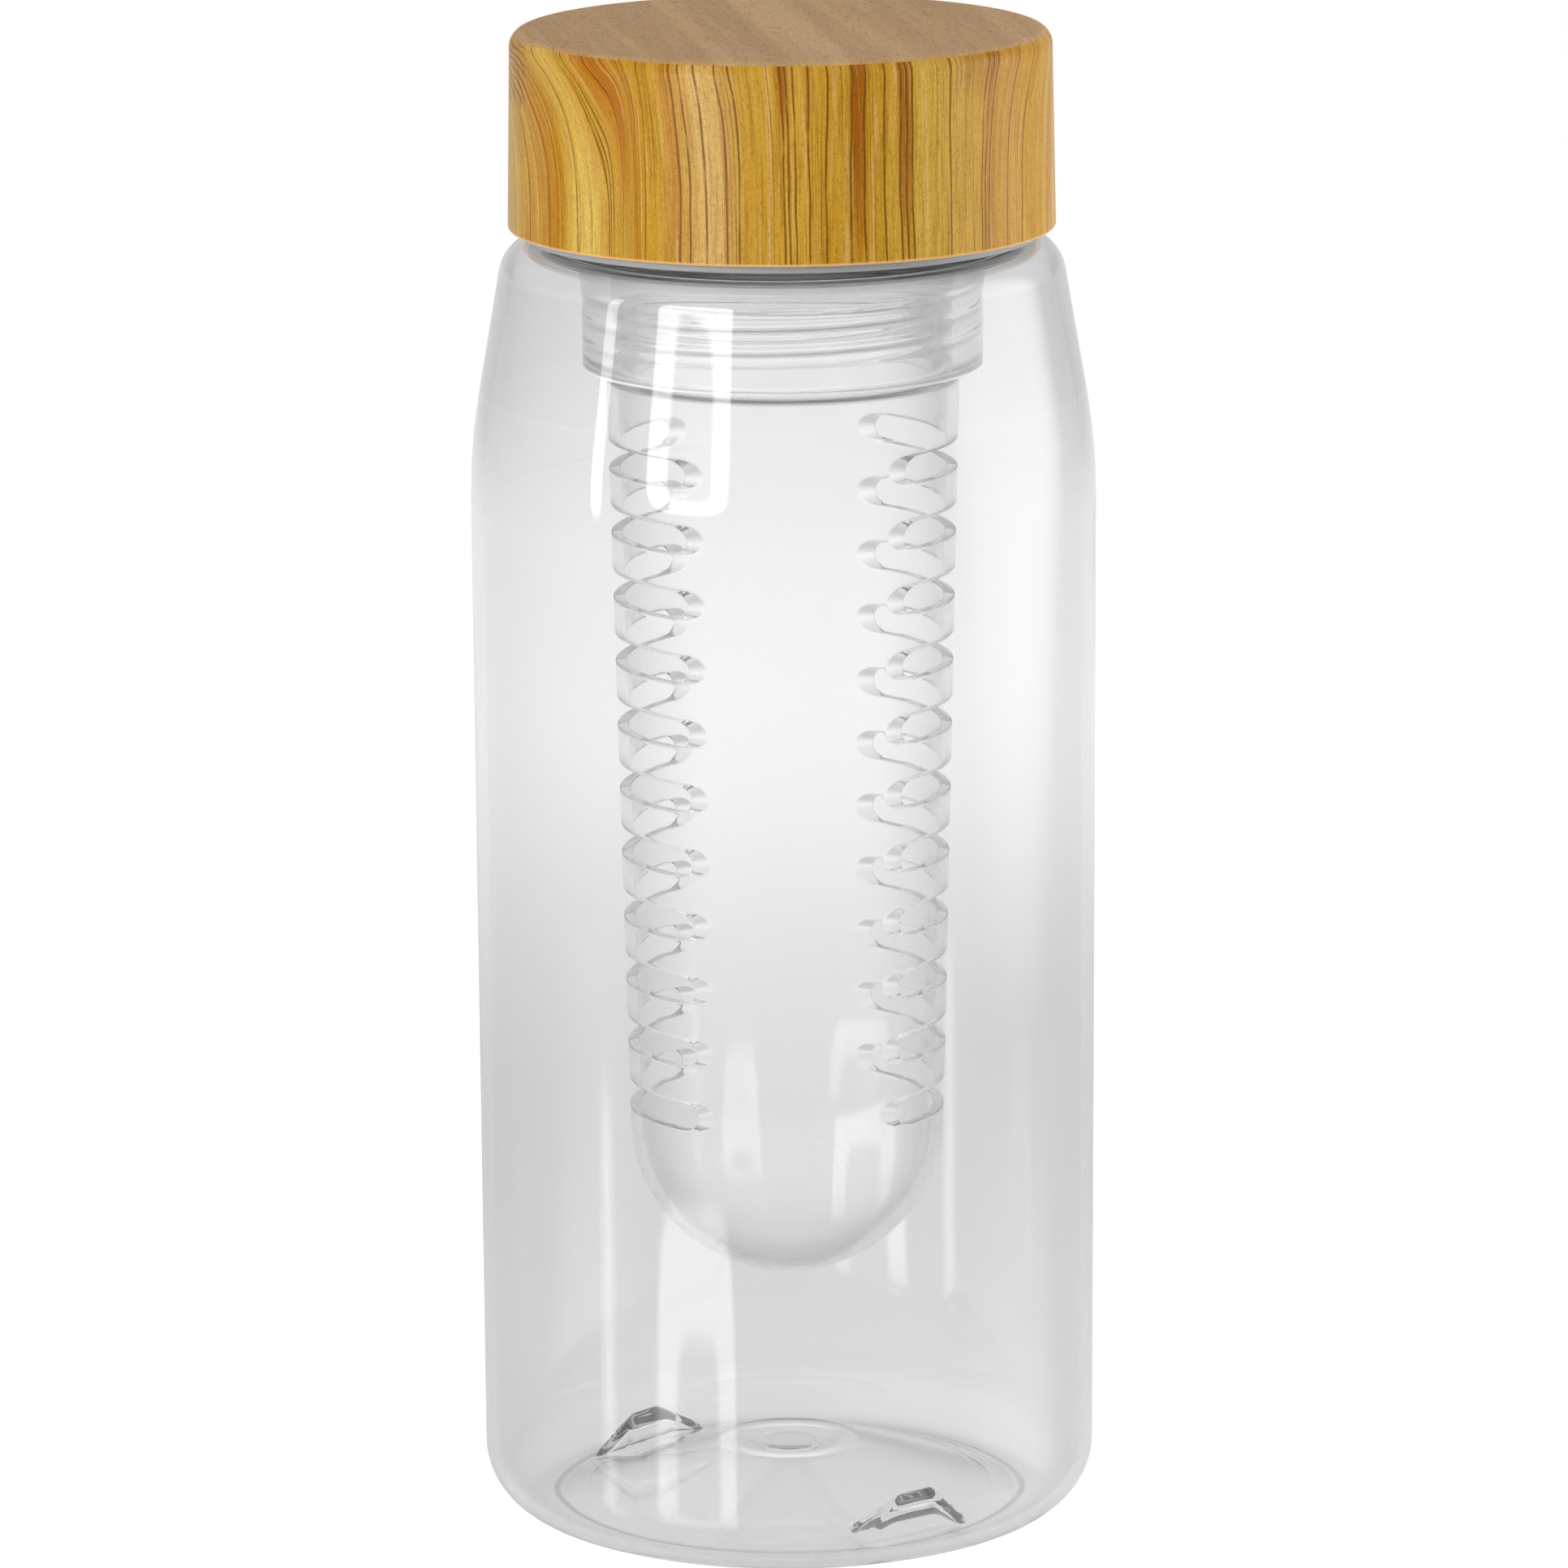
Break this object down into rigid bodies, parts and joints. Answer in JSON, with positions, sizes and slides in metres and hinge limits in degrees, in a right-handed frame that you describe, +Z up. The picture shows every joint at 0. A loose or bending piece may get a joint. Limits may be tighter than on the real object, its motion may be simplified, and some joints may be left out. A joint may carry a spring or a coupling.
{
  "type": "fruit infuser water bottle",
  "caption": "Clear wide-mouth water bottle with a wood-look screw cap, whose inner collar holds a long slotted round-bottomed infuser basket.",
  "frame": {"origin": "middle of the base, on the surface that the bottle stands on", "axes": "+Z up along the bottle's axis, -Y towards the viewer of the picture"},
  "size_m": [0.084, 0.084, 0.2032],
  "materials": {
    "clear_bottle": "clear blown copolyester, glossy",
    "silicone": "white silicone, matte",
    "wood_print": "printed wood look under a gloss coat",
    "natural_plastic": "translucent natural polypropylene, satin",
    "clear_basket": "clear moulded copolyester, glossy"
  },
  "bodies": {
    "bottle": {"bottle": "clear_bottle"},
    "seal": {"lid_gasket": "silicone"},
    "lid": {"cap_shell": "wood_print", "cap_liner": "natural_plastic"},
    "infuser": {"infuser_basket": "clear_basket"}
  },
  "joints": [
    {"name": "lid_lift", "type": "slide", "parent": "bottle", "child": "seal", "axis": [0, 0, 1], "range_m": [0, 0.19]},
    {"name": "lid_turn", "type": "hinge", "parent": "seal", "child": "lid", "pos_m": [0, 0, 0.1998], "axis": [0, 0, 1], "range_deg": [0, 450]},
    {"name": "infuser_release", "type": "slide", "parent": "lid", "child": "infuser", "axis": [0, 0, -1], "range_m": [0, 0.018]}
  ]
}
